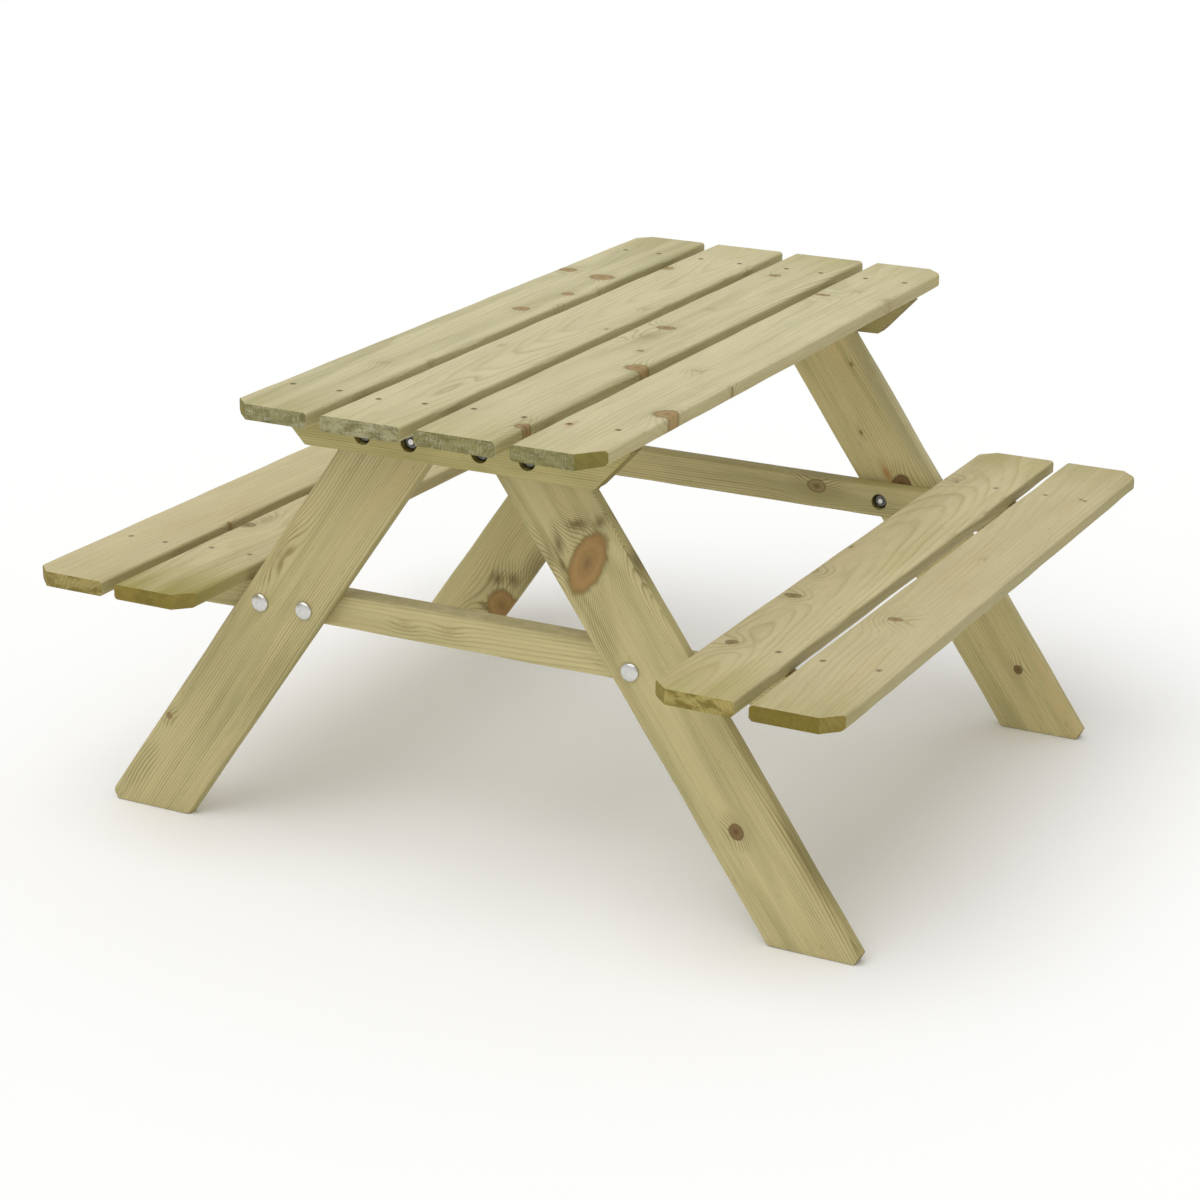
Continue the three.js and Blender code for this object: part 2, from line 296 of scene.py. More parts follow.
# How strongly each kind of knot covers the wood, and where its rim starts and stops fading
KNOT_RIMS = {
    "faint": (0.55, 0.85, 1.2), "amber": (0.92, 0.8, 1.22), "pale": (0.6, 0.1, 1.3),
    "smear": (0.45, 0.1, 1.3), "glow": (0.85, 0.2, 1.1), "haze": (0.5, 0.1, 1.3),
    "mould": (0.5, 0.5, 1.3), "blot": (0.7, 0.0, 1.3), "painted_light": (0.85, 0.6, 1.3),
}
USUAL_RIM = (0.92, 0.86, 1.18)
RAGGED = ("blot", "smear")  # stains whose outline breaks up into streaks along the grain
# Darkness across one growth ring, from the start of its pale early wood to the end of its late wood
LATE_WOOD_PROFILE = ((0.0, 0.1), (0.3, 0.0), (0.6, 0.22), (0.84, 1.0), (0.95, 0.85), (1.0, 0.1))


class WoodGraph(Graph):
    """Shader of one timber, built in layers on coordinates that run along its own grain.

    matrix is the piece's own frame: X runs along the grain, Y across the width and Z through the
    thickness, all in millimetres.
    """

    def __init__(self, tree, matrix, seed):
        super().__init__(tree)
        coords = self.node("ShaderNodeTexCoord")
        self.normal = coords.outputs["Normal"]
        self.turn_to_own = matrix.to_3x3().transposed()
        self.point = self.placed(
            coords.outputs["Object"], matrix.to_translation(), matrix.to_euler(), (MM, MM, MM),
        )
        self.axes = self.node("ShaderNodeSeparateXYZ", {0: self.point}).outputs
        self.shifted = self.vector("ADD", self.point, (seed * 311.0, seed * 173.0, seed * 97.0))
        self.streak = self.pattern(120, 2.4, 2.4, detail=4.0, roughness=0.68)
        self.stain = self.pattern(330, 24, 24, detail=3.0, roughness=0.55, distortion=0.3)
        self.fibre = self.pattern(24, 0.8, 0.8, detail=2.0, roughness=0.7)
        self.scratch = self.pattern(6, 1.5, 7, detail=3.0, roughness=0.7)
        self.mottle = self.pattern(8, 22, 9, detail=5.0, roughness=0.65)

    def pattern(self, x, y, z, shift=None, **settings):
        """Noise about x, y and z millimetres in size, different for every piece."""
        place = self.shifted if shift is None else self.vector("ADD", self.shifted, shift)
        return self.noise(self.stretch(place, x, y, z), **settings)

    def facing(self, axis):
        """How squarely the surface faces along one of the piece's own axes."""
        product = self.node(
            "ShaderNodeVectorMath", {0: self.normal, 1: tuple(self.turn_to_own[axis])},
            operation="DOT_PRODUCT",
        )
        return self.math("ABSOLUTE", product.outputs["Value"])

    def growth_rings(self, pith, tilt, spacing, sway, ripple):
        """Number of rings between the pith line and a point, before any knot bends them."""
        bow = self.math("SUBTRACT", self.pattern(420, 90, 90, detail=1.0), 0.5)
        curl = self.math("SUBTRACT", self.pattern(80, 20, 20, detail=2.0), 0.5)
        across = self.math("SUBTRACT", self.axes[1], pith[0])
        depth = self.math("SUBTRACT", self.axes[2], pith[1])
        depth = self.add(depth, self.times(self.axes[0], tilt))
        radius = self.math("SQRT", self.add(self.times(across, across), self.times(depth, depth)))
        radius = self.add(radius, self.times(bow, sway * 2.0))
        radius = self.add(radius, self.times(curl, ripple * 2.0))
        return self.math("DIVIDE", radius, spacing)

    def bend_round_knots(self, rings, knots):
        """Rings pushed aside by the knots, how near a knot is, and the distances to their rims."""
        wobble = self.pattern(15, 11, 12, detail=2.0)
        wobble = self.linear(wobble, 0.25, 0.75, 0.9, 1.1)
        rims = []
        near = 0.0
        for x, y, along_grain, wide, kind, push, reach, *turn in knots:
            made = self.node("ShaderNodeGroup", {"Point": self.point, "Wobble": wobble},
                             node_tree=KNOT)
            made.inputs["Centre"].default_value = (x, y, 0)
            made.inputs["Turn"].default_value = (0, 0, math.radians(turn[0] if turn else 0))
            made.inputs["Size"].default_value = (along_grain, wide, FLAT)
            made.inputs["Reach"].default_value = (
                along_grain * BEND_STRETCH * reach + BEND_MARGINS[0],
                wide * reach + BEND_MARGINS[1],
                FLAT,
            )
            bend = made.outputs["Bend"]
            rings = self.add(rings, self.times(bend, push))
            near = self.math("MAXIMUM", bend, near)
            if kind != "swirl":
                rims.append((made.outputs["Distance"], kind))
        return rings, near, rims

    def late_wood(self, rings, near):
        """The dark line that closes each ring; some are stronger, and all are beside a knot."""
        stops = [(place, (level, level, level, 1)) for place, level in LATE_WOOD_PROFILE]
        late = self.ramp(self.math("FRACT", rings), stops).outputs["Color"]
        each = self.node("ShaderNodeTexWhiteNoise", {"W": self.math("FLOOR", rings)},
                         noise_dimensions="1D").outputs["Value"]
        strength = self.linear(each, 0.0, 1.0, 0.4, 1.0)
        patch = self.pattern(170, 38, 38, detail=1.0)
        strength = self.times(strength, self.span(patch, 0.28, 0.64, 0.35, 1.0))
        strength = self.math("MAXIMUM", strength, self.span(near, 0.05, 0.7, 0.0, 0.9))
        return self.times(late, strength)

    def clear_wood(self, late, near, palette, grey, warm, contrast, soak):
        """Colour of the faces, with stains, ring lines and ends soaked green."""
        blush = self.pattern(190, 34, 34, shift=(900.0, 40.0, 7.0), detail=2.0)
        greyness = self.times(self.span(self.stain, 0.42, 0.72), grey)
        colour = self.mix(greyness, palette["early"], palette["grey"])
        warmth = self.times(self.span(blush, 0.5, 0.75), warm)
        colour = self.mix(warmth, colour, palette["warm"])
        line = self.span(near, 0.05, 0.6, contrast, contrast * 0.7 + 0.3)
        colour = self.mix(self.times(late, line), colour, palette["late"])
        soaked = self.span(self.math("ABSOLUTE", self.axes[0]), 330.0, 458.0, 0.0, soak)
        soaked = self.times(soaked, self.span(self.stain, 0.3, 0.6, 0.5, 1.0))
        return self.mix(soaked, colour, palette["green"])

    def shaded(self, colour, near, palette, tone_and_painted_light):
        """Uneven lightness of the faces, and painted shade that darkens the narrow edges, which are
        also mixed towards green.
        """
        cloud = self.pattern(90, 30, 30, detail=3.0, roughness=0.6)
        # side picks out the narrow edges; the palette's side factor darkens them as painted shade
        side = self.span(self.facing(1), 0.7, 0.98)
        shade = self.linear(self.streak, 0.25, 0.75, 0.91 * tone_and_painted_light, 1.08 * tone_and_painted_light)
        for factor in (
            self.linear(cloud, 0.3, 0.7, 0.965, 1.03),
            self.linear(self.fibre, 0.25, 0.75, 0.96, 1.04),
            self.linear(near, 0.1, 1.0, 1.0, 0.96),
            self.linear(side, 0.0, 1.0, 1.0, palette["side"]),
        ):
            shade = self.times(shade, factor)
        colour = self.mix(self.times(side, 0.35), colour, palette["green"])
        return self.dimmed(colour, shade)

    def dimmed(self, colour, factor):
        grey = self.node("ShaderNodeCombineColor", {0: factor, 1: factor, 2: factor}).outputs[0]
        return self.mix(1.0, colour, grey, "MULTIPLY")

    def flecked(self, colour, palette):
        """Resin flecks: short dark dashes along the grain."""
        fleck = self.pattern(16, 1.4, 1.4, detail=1.0)
        return self.mix(self.span(fleck, 0.70, 0.78, 0.0, 0.4), colour, palette["end_dark"])

    def knotted(self, colour, rims):
        """Paints each knot or stain over the wood, with rings of its own, and the pale strips of
        painted light.
        """
        torn_rim = self.linear(self.streak, 0.32, 0.68, 0.5, 1.6)
        for distance, kind in rims:
            if kind in RAGGED:
                distance = self.times(distance, torn_rim)
            stops = [(place * 0.5, srgb(*shade)) for place, *shade in KNOT_COLOURS[kind]]
            knot = self.ramp(self.times(distance, 0.5), stops).outputs["Color"]
            rings = self.math("SINE", self.times(distance, KNOT_RINGS))
            lines = self.linear(rings, -1.0, 1.0, 0.95, 1.03)
            rough = self.linear(self.fibre, 0.25, 0.75, 0.93, 1.06)
            knot = self.dimmed(knot, self.times(lines, rough))
            cover, rim_start, rim_stop = KNOT_RIMS.get(kind, USUAL_RIM)
            colour = self.mix(self.span(distance, rim_start, rim_stop, cover, 0.0), colour, knot)
        return colour

    def sawn_ends(self, colour, sawn, squareness, late, palette, end):
        """End grain, torn and weathered by the saw, and the fresher cut corners beside it."""
        scuff = self.pattern(6, 9, 1.1, detail=3.0, roughness=0.7)
        pale = self.pattern(9, 16, 6, shift=(5.0, 77.0, 13.0), detail=4.0, roughness=0.7)
        dark, weather = palette["end_dark"], palette["weather"]
        square = self.mix(self.span(self.mottle, 0.42, 0.62, 0.0, 0.85), end or palette["end"], dark)
        fuzz = self.times(self.span(pale, 0.36, 0.64, 0.1, 1.0), weather)
        torn = self.math("MAXIMUM", self.span(self.scratch, 0.46, 0.68), self.span(scuff, 0.48, 0.7))
        square = self.mix(self.times(torn, fuzz), square, palette["end_pale"])
        square = self.mix(self.span(self.scratch, 0.46, 0.3, 0.0, weather * 0.5), square, dark)
        clip = self.mix(self.span(self.mottle, 0.35, 0.7, 0.0, 0.5), palette["clip"], dark)
        cut = self.mix(self.span(squareness, 0.78, 0.92), clip, square)
        cut = self.mix(self.times(late, 0.5), cut, dark)
        return self.mix(sawn, colour, cut)

    def relief(self, late, sawn):
        """Raised late wood, fibre, and saw marks on the ends."""
        height = self.add(self.times(late, 0.35), self.times(self.fibre, 0.5))
        height = self.add(height, self.times(self.streak, 0.6))
        marks = self.add(self.times(self.scratch, 1.2), self.mottle)
        height = self.add(height, self.times(sawn, marks))
        return self.node("ShaderNodeBump", {"Strength": 0.4, "Distance": 0.0004, "Height": height})


def wood(name, palette, matrix, pith, tilt=0.0, spacing=4.0, contrast=0.6, seed=0, knots=(),
         grey=0.5, warm=0.35, sway=10.0, ripple=1.4, end=None, tone_and_painted_light=1.0, soak=0.0):
    """Solid pine: growth rings round an offset pith line, bent by knots, with streaks and stains.

    pith is the (y, z) of the ring centre and tilt how fast it leaves the piece along the grain.
    end is the colour of this piece's sawn ends; the lightness factor is partly real tone and partly
    painted light and shade, lifting a far leg out of the shadow of the top and darkening a cleat
    under it; and soak how green the faces are close to the ends.
    """
    material, tree = empty_material(name)
    g = WoodGraph(tree, matrix, seed)
    rings = g.growth_rings(pith, tilt, spacing, sway, ripple)
    rings, near, rims = g.bend_round_knots(rings, knots)
    late = g.late_wood(rings, near)
    colour = g.clear_wood(late, near, palette, grey, warm, contrast, soak)
    colour = g.shaded(colour, near, palette, tone_and_painted_light)
    colour = g.flecked(colour, palette)
    colour = g.knotted(colour, rims)
    squareness = g.facing(0)
    sawn = g.span(squareness, 0.42, 0.56)
    colour = g.sawn_ends(colour, sawn, squareness, late, palette, end)
    rough = g.linear(g.streak, 0.2, 0.8, 0.6, 0.76)
    rough = g.add(rough, g.times(sawn, 0.15))
    g.surface(colour, rough, g.relief(late, sawn), specular=0.3)
    return material


def zinc(name, bright, dark, roughness):
    """Zinc-plated steel: cloudy passivation with dull spots."""
    material, tree = empty_material(name)
    g = Graph(tree)
    coords = g.node("ShaderNodeTexCoord")
    point = g.vector("MULTIPLY", coords.outputs["Object"], (1 / MM, 1 / MM, 1 / MM))
    cloud = g.noise(g.stretch(point, 4.0, 4.0, 4.0), detail=4.0, roughness=0.6)
    speck = g.noise(g.stretch(point, 0.7, 0.7, 0.7), detail=2.0)
    colour = g.mix(g.span(cloud, 0.3, 0.75, 0.0, 0.5), bright, dark)
    colour = g.mix(g.span(speck, 0.64, 0.75, 0.0, 0.25), colour, dark)
    rough = g.span(cloud, 0.2, 0.8, roughness - 0.07, roughness + 0.1)
    bump = g.node("ShaderNodeBump", {"Strength": 0.2, "Distance": 0.00003, "Height": cloud})
    g.surface(colour, rough, bump, metallic=1.0)
    return material


# ---- Timber geometry ----
def mesh_from(bm, name):
    mesh = bpy.data.meshes.new(name)
    bm.to_mesh(mesh)
    bm.free()
    return mesh


def add_object(name, data):
    obj = bpy.data.objects.new(name, data)
    bpy.context.scene.collection.objects.link(obj)
    return obj


def section(width, thickness, arris, flats):
    """Closed outline of a bar: rounded edges, and flats split so the faces can follow the wood."""
    w, t = width / 2, thickness / 2
    corners = [(w - arris, t - arris, 0), (-w + arris, t - arris, 90),
               (-w + arris, -t + arris, 180), (w - arris, -t + arris, 270)]
    steps = 5
    points = []
    for index, (y, z, start) in enumerate(corners):
        for k in range(steps + 1):
            angle = math.radians(start + 90 * k / steps)
            points.append((y + arris * math.cos(angle), z + arris * math.sin(angle)))
        ny, nz, nstart = corners[(index + 1) % 4]
        angle = math.radians(nstart)
        target = (ny + arris * math.cos(angle), nz + arris * math.sin(angle))
        last = points[-1]
        count = flats if index % 2 == 0 else 2
        for k in range(1, count):
            f = k / count
            points.append((last[0] + (target[0] - last[0]) * f, last[1] + (target[1] - last[1]) * f))
    return points


def rough_bar(length, outline):
    """A bar along X, longer than the finished piece, with closed ends."""
    bm = bmesh.new()
    loops = []
    for x in (-length / 2, length / 2):
        loops.append([bm.verts.new((x * MM, y * MM, z * MM)) for y, z in outline])
    count = len(outline)
    for i in range(count):
        j = (i + 1) % count
        bm.faces.new((loops[0][i], loops[1][i], loops[1][j], loops[0][j]))
    bm.faces.new(loops[0])
    bm.faces.new(list(reversed(loops[1])))
    bmesh.ops.recalc_face_normals(bm, faces=bm.faces[:])
    return bm


def slice_bar(bm, point, normal, **settings):
    geometry = bm.verts[:] + bm.edges[:] + bm.faces[:]
    return bmesh.ops.bisect_plane(bm, geom=geometry, plane_co=point, plane_no=normal, **settings)


def saw(bm, point, normal):
    """Cuts off what lies beyond a plane and closes the cut face."""
    cut = slice_bar(bm, point, normal, dist=1e-7, clear_outer=True)
    edges = [e for e in cut["geom_cut"] if isinstance(e, bmesh.types.BMEdge)]
    bmesh.ops.edgeloop_fill(bm, edges=edges)


def soften_cuts(bm):
    """Breaks the sharp rims that the saw leaves."""
    sharp = [e for e in bm.edges if len(e.link_faces) == 2
             and e.calc_face_angle(0) > math.radians(38)]
    bmesh.ops.bevel(bm, geom=sharp, offset=SAWN_EDGE * MM, segments=2, profile=0.6,
                    affect="EDGES", clamp_overlap=True)


def add_stations(bm, reach, extra):
    """Cross-sections along the piece, closer together round the dents in its edges."""
    count = max(2, int(2 * reach / STATION_STEP))
    places = [-reach + 2 * reach * k / count for k in range(count + 1)]
    for x in extra:
        places += [x - 9, x - 5, x - 2, x + 2, x + 5, x + 9]
    for x in sorted(places):
        slice_bar(bm, (x * MM, 0, 0), X_AXIS, dist=1e-6)


def work_edges(bm, width, thickness, arris, seed, dents):
    """Lets the rounded edges wander a little and presses dents where knots broke out."""
    inner_y, inner_z = (width / 2 - arris) * MM, (thickness / 2 - arris) * MM
    for v in bm.verts:
        y, z = v.co.y, v.co.z
        if abs(y) > inner_y * 1.001 and abs(z) > inner_z * 1.001:
            place = (v.co.x * 14 + seed * 7.3, math.copysign(3, y), math.copysign(5, z))
            wander = noise.noise(Vector(place))
            wander = max(0.0, wander + 0.25) * EDGE_WANDER * MM
            v.co.y -= math.copysign(wander, y)
            v.co.z -= math.copysign(wander * 0.6, z)
        for x, side, radius, depth in dents:
            away = Vector(((v.co.x / MM - x) / radius, (v.co.y / MM - side * width / 2) / radius,
                           (v.co.z / MM - thickness / 2) / radius)).length
            if away < 1:
                press = depth * MM * (1 - away * away) ** 2
                v.co.y -= side * press
                v.co.z -= press * 0.5


def cutter_object(solids):
    """One mesh of all the shapes to be drilled out of a piece.

    Each is (matrix, size, depth, kind); a cone's size is its (lower, upper) diameters.
    """
    bm = bmesh.new()
    for matrix, size, depth, kind in solids:
        if kind == "square":
            made = bmesh.ops.create_cube(bm, size=1.0)["verts"]
            bmesh.ops.scale(bm, vec=(size * MM, size * MM, depth * MM), verts=made)
        else:
            top = size[1] if isinstance(size, tuple) else size
            low = size[0] if isinstance(size, tuple) else size
            made = bmesh.ops.create_cone(bm, cap_ends=True, segments=40, radius1=low / 2 * MM,
                                         radius2=top / 2 * MM, depth=depth * MM)["verts"]
        bmesh.ops.transform(bm, matrix=matrix, verts=made)
    return add_object("cutter", mesh_from(bm, "cutter"))


def drill_out(obj, solids):
    """Takes the drilled shapes out of the piece with an exact boolean."""
    cutter = cutter_object(solids)
    modifier = obj.modifiers.new("drill", "BOOLEAN")
    modifier.operation, modifier.solver, modifier.object = "DIFFERENCE", "EXACT", cutter
    modifier.use_self = True
    bpy.context.view_layer.update()
    drilled = bpy.data.meshes.new_from_object(obj.evaluated_get(bpy.context.evaluated_depsgraph_get()))
    obj.modifiers.clear()
    obj.data = drilled
    bpy.data.objects.remove(cutter)


def show_piece(obj, material, node, matrix):
    """Gives a finished piece its material, parents it to the root body and hides the CAD node it
    stands for, if any.
    """
    obj.data.materials.clear()
    obj.data.materials.append(material)
    obj.data.shade_smooth()
    obj.data.set_sharp_from_angle(angle=math.radians(32))
    obj.matrix_world = matrix
    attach(obj, "root")
    if node:
        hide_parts(node)


def timber(node, palette, spec, matrix, size, arris, cuts, solids):
    """A sawn, rounded, drilled timber in its own axes, standing in for one CAD node.

    size is (length, width, thickness); cuts are (point, normal) planes in the table's axes.
    """
    material = wood("wood_" + node, palette, matrix, **spec)
    dents = DENTS.get(node, ())
    length, width, thickness = size
    flats = 6 if width > WIDE_PIECE else 3
    bm = rough_bar(length, section(width, thickness, arris, flats))
    inverse = matrix.inverted()
    turn = inverse.to_3x3()
    for point, normal in cuts:
        saw(bm, inverse @ (Vector(point) * MM), (turn @ Vector(normal)).normalized())
    soften_cuts(bm)
    reach = min(abs(v.co.x) for v in bm.verts) / MM - STATION_MARGIN
    add_stations(bm, reach, [d[0] for d in dents])
    work_edges(bm, width, thickness, arris, spec["seed"], dents)
    bmesh.ops.recalc_face_normals(bm, faces=bm.faces[:])
    mesh = mesh_from(bm, "wood_" + node)
    mesh.transform(matrix)
    obj = add_object("wood_" + node, mesh)
    drill_out(obj, solids)
    show_piece(obj, material, node, Matrix.Identity(4))


# ---- Drilled shapes, in the table's axes ----
def along(axis, x, y, z):
    """Matrix that stands a shape's Z along the given axis at a place in millimetres."""
    turn = Z_AXIS.rotation_difference(Vector(axis)).to_matrix().to_4x4()
    return Matrix.Translation(Vector((x, y, z)) * MM) @ turn


def screw_pocket(x, y, level):
    """Countersink and pilot bore of a screw whose head lies at the given level."""
    head, cone = SCREW_HEAD + SCREW_PLAY, SCREW_CONE
    return [
        (along(Z_AXIS, x, y, level + SCREW_PAST / 2), head, SCREW_PAST, "round"),
        (along(Z_AXIS, x, y, level - cone / 2 + 0.01), (SCREW_BORE, head), cone, "round"),
        (along(Z_AXIS, x, y, level - SCREW_LENGTH / 2), SCREW_BORE, SCREW_LENGTH + 1, "round"),
    ]


def board_screws(x_places, y, shifts):
    """Places of the four screws of a board; shifts are how far each is from its nominal spot."""
    places = []
    for index, (sx, sy) in enumerate(((-1, 1), (-1, -1), (1, 1), (1, -1))):
        dx, dy = shifts[index]
        places.append((sx * x_places + dx, y + sy * SCREW_ACROSS + dy))
    return places


def box_mm(node):
    low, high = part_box(node)
    return low / MM, high / MM


def bolt_centres(kind, number):
    """Measured from the CAD bolts: (y, z) of each bolt of one cleat or rail."""
    found = []
    for place in BOLT_PLACES:
        low, high = box_mm(f"bolt_{kind}_{number}{place}")
        middle = (low + high) / 2
        found.append((middle.y, middle.z))
    return found


# ---- Knots and grain of every timber ----
# A knot is (x, y, radius along, radius across, kind, rings it pushes aside, how far round it they
# bend, and the degrees it is turned, if any)
TOP_WOOD = {
    "top_board_1": dict(
        pith=(34, -38), tilt=0.020, spacing=4.0, seed=1, grey=0.9, warm=0.15, contrast=0.4,
        end=srgb(138, 134, 92), soak=0.3, tone_and_painted_light=0.95,
        knots=[(238, 31, 10, 11, "amber", 1.8, 1.5), (222, -22, 13, 15, "amber", 2.6, 1.5),
               (125, -28, 7, 8, "amber", 1.4, 1.5), (34, -17, 9, 10, "amber", 2.0, 1.8),
               (-251, -9, 7, 8, "faint", 1.6, 2.0), (72, -45, 4, 3, "faint", 1.5, 1.5),
               (172, -45, 4, 3, "faint", 1.4, 1.5), (-215, -46, 3, 3, "faint", 0.8, 1.5)]),
    "top_board_2": dict(
        pith=(-4, -40), tilt=-0.045, spacing=3.6, seed=2, grey=0.35, warm=0.35, contrast=0.42,
        end=srgb(156, 150, 112), soak=0.2, tone_and_painted_light=0.97,
        knots=[(304, 38, 8, 8, "amber", 2.4, 1.7), (355, -45, 4, 3, "faint", 1.4, 1.5),
               (-4, -38, 2.6, 2.6, "tan", 0.6, 1.6), (-124, 26, 3, 3, "faint", 0.6, 1.6),
               (102, -30, 4, 4, "faint", 1.0, 2.0), (-300, -14, 16, 3, "swirl", 1.6, 2.4)]),
    "top_board_3": dict(
        pith=(-62, -34), tilt=0.035, spacing=3.6, seed=3, grey=1.0, warm=0.15, contrast=0.62,
        end=srgb(134, 128, 80), soak=0.35, tone_and_painted_light=0.97,
        knots=[(-10, 14, 26, 14, "haze", 8.0, 1.2), (33, 13, 8, 11, "tan", 4.0, 2.2),
               (332, 16, 6, 7, "tan", 3.2, 2.0),
               (-139, -37, 13, 14, "amber", 2.6, 1.4), (-395, -42, 9, 9, "tan", 2.2, 1.7),
               (-73, -8, 3.5, 4, "tan", 1.2, 1.8), (138, 10, 3, 3, "faint", 0.7, 1.8),
               (-374, -34, 3, 6, "faint", 0.6, 1.6)]),
    "top_board_4": dict(
        pith=(38, -46), tilt=0.020, spacing=4.4, seed=4, grey=0.5, warm=0.3, contrast=0.32,
        end=srgb(130, 125, 76), soak=0.25, tone_and_painted_light=0.97,
        knots=[(-288, -38, 14, 15, "amber", 2.8, 1.5), (267, 33, 5, 10, "tan", 2.0, 2.2),
               (302, 4, 4, 5, "faint", 1.0, 1.8), (279, -44, 8, 8, "faint", 1.6, 1.5),
               (-120, 10, 6, 6, "faint", 1.8, 2.2), (-150, -46, 3, 2, "dark", 1.6, 1.8),
               (-367, 29, 8, 7, "glow", 0.0, 1.0)]),
}
SEAT_WOOD = {
    "seat_board_b_inner": dict(
        pith=(12, -52), tilt=0.060, spacing=4.8, seed=5, grey=0.6, warm=0.2, contrast=0.48,
        end=srgb(166, 151, 88), tone_and_painted_light=1.03, soak=0.5,
        knots=[(-151, 29, 7, 9, "dark", 3.4, 2.2), (-310, 25, 6, 7, "dark", 2.8, 2.4),
               (30, 39, 2.4, 2.4, "tan", 0.8, 1.6), (-67, 34, 7, 7, "swirl", 2.6, 2.2),
               (330, 30, 6, 7, "faint", 2.2, 2.2)]),
    "seat_board_b_outer": dict(
        pith=(52, -56), tilt=0.030, spacing=4.6, seed=6, grey=0.2, warm=0.55, contrast=0.3,
        end=srgb(116, 102, 34), tone_and_painted_light=0.94, soak=0.35,
        knots=[(-169, 14, 6, 8, "tan", 4.5, 3.2), (60, 4, 3, 3, "faint", 0.8, 2.0),
               (322, -18, 2.2, 2.2, "tan", 0.3, 1.5)]),
    "seat_board_a_outer": dict(
        pith=(-60, -40), tilt=0.020, spacing=5.0, seed=7, grey=0.25, warm=0.55, contrast=0.35,
        end=srgb(156, 141, 86), soak=0.2,
        knots=[(-222, -46, 4, 4, "tan", 1.0, 1.6), (140, 10, 7, 8, "tan", 2.0, 1.8)]),
    "seat_board_a_inner": dict(
        pith=(10, -52), tilt=-0.030, spacing=4.2, seed=8, grey=0.7, warm=0.1, contrast=0.55,
        end=srgb(130, 114, 46), soak=0.9,
        knots=[(-196, 30, 24, 10, "haze", 1.6, 1.0), (-222, 38, 9, 9, "dark", 5.0, 2.2),
               (90, -12, 8, 9, "tan", 2.4, 1.8)]),
}
LEG_WOOD = {
    "leg_1b": dict(
        pith=(92, -44), tilt=0.012, spacing=2.6, seed=9, grey=0.8, warm=0.5, contrast=0.74,
        sway=4.0, ripple=0.4, tone_and_painted_light=0.98,
        knots=[(184, 12, 9, 16, "smear", 3.0, 1.6, 20), (177, 34, 8, 13, "blot", 3.0, 1.4, -20),
               (178, -20, 16, 7, "blot", 1.5, 1.3, 25), (158, -28, 14, 5, "blot", 0.5, 1.2, 5),
               (187, 10, 6, 15, "blot", 1.0, 1.3, 20), (126, 46, 16, 5, "blot", 0.5, 1.2),
               (146, 33, 24, 11, "pale", 0.0, 1.0), (170, -38, 20, 7, "smear", 4.0, 1.5, 10),
               (116, 48, 20, 7, "smear", 3.0, 1.0), (92, -22, 26, 12, "swirl", 2.0, 1.3, 20),
               (148, -2, 36, 17.5, "red", 10.0, 1.5, 60),
               (-156, -8, 9, 8, "brown", 3.0, 1.6), (-218, 43, 62, 6, "smear", 2.0, 1.5)]),
    "leg_1a": dict(
        pith=(86, -44), tilt=0.010, spacing=2.7, seed=10, grey=0.8, warm=0.5, contrast=0.8,
        sway=5.0, ripple=0.4, tone_and_painted_light=0.97,
        knots=[(-191, 37, 4, 4, "tan", 1.4, 2.0), (65, 34, 20, 6, "faint", 4.2, 1.8),
               (-268, 34, 16, 10, "swirl", 1.2, 1.6)]),
    "leg_2a": dict(
        pith=(-80, -46), tilt=0.015, spacing=3.2, seed=11, grey=0.5, warm=0.25, contrast=0.65,
        sway=6.0, ripple=0.6, tone_and_painted_light=1.05,
        knots=[(-207, -9, 12, 13, "blot", 0.8, 1.2, 40), (-192, -27, 14, 14, "blot", 0.8, 1.2, 40),
               (-251, -18, 7, 14, "blot", 0.5, 1.2), (-155, -40, 50, 17, "smear", 0.0, 1.0),
               (-233, -34, 22, 21, "red", 9.0, 1.6),
               (60, 20, 6, 5, "tan", 1.4, 1.8)]),
    "leg_2b": dict(
        pith=(-92, -44), tilt=0.015, spacing=3.2, seed=12, grey=0.8, warm=0.6, contrast=0.55,
        # This leg's raised lightness is painted light, lifting it out of the shadow of the top
        sway=6.0, ripple=0.6, tone_and_painted_light=1.14,
        knots=[(191, 22, 3.4, 2, "tan", 0.8, 1.8), (115, -11, 3.4, 2, "tan", 0.8, 1.8),
               # The long pale strip along the narrow side is painted light
               (0, 55, 400, 11, "painted_light", 0.0, 1.0), (58, -8, 16, 7, "glow", 0.0, 1.0),
               (38, 1, 12, 12, "brown", 3.4, 1.8), (-221, 13, 6, 5, "brown", 2.0, 1.8),
               (120, 39, 130, 12, "mould", 0.0, 1.0)]),
}
